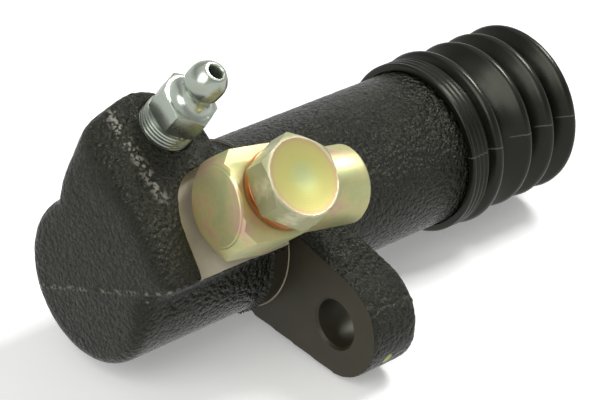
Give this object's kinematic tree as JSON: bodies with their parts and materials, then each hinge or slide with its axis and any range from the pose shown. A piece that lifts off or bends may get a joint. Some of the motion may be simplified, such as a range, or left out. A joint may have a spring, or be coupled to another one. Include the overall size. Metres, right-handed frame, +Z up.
{
  "type": "clutch slave cylinder",
  "caption": "Hydraulic clutch slave cylinder: cast body with bolt ears, bolted pipe union, bleeder screw, spring-loaded piston and a pushrod in a ribbed rubber boot.",
  "frame": {"origin": "on the bore's axis, in the plane of the machined mounting face", "axes": "+X along the bore from the closed end to the boot, +Y across the ears away from the union, +Z up"},
  "size_m": [0.1193, 0.0764, 0.0586],
  "materials": {
    "painted_cast_iron": "semi-gloss black paint over rough casting, machined faces bare",
    "yellow_zinc": "yellow passivated zinc plating",
    "silver_zinc": "clear passivated zinc plating",
    "copper": "bare copper",
    "steel": "bare steel",
    "plastic": "plain moulded",
    "rubber": "moulded, slightly shiny",
    "aluminium": "turned"
  },
  "bodies": {
    "housing": {"cylinder_body": "painted_cast_iron", "union_body": "yellow_zinc", "tube_seat": "steel", "union_washer_lower": "copper", "union_washer_upper": "copper", "banjo_bolt": "yellow_zinc", "snap_ring": "steel", "return_spring": "steel", "dust_boot": "rubber"},
    "piston_group": {"piston": "aluminium", "primary_cup": "rubber", "secondary_cup": "rubber", "cup_spreader": "plastic"},
    "pushrod": {"pushrod": "steel"},
    "bleeder": {"bleeder_screw": "silver_zinc"}
  },
  "joints": [
    {"name": "piston_slide", "type": "slide", "parent": "housing", "child": "piston_group", "axis": [1, 0, 0], "range_m": [-0.014, 0], "stiffness_N_per_m": 600, "springref_m": 0.03, "deforming": ["return_spring", "dust_boot"]},
    {"name": "pushrod_tilt", "type": "hinge", "parent": "piston_group", "child": "pushrod", "pos_m": [0.0385, 0, 0], "axis": [0, 0, 1], "range_deg": [-2, 2], "stiffness_Nm_per_rad": 0.3},
    {"name": "bleeder_turn", "type": "hinge", "parent": "housing", "child": "bleeder", "pos_m": [-0.01736, -0.00132, 0.02654], "axis": [0.1302, -0.5715, 0.8102], "range_deg": [0, 180]}
  ]
}
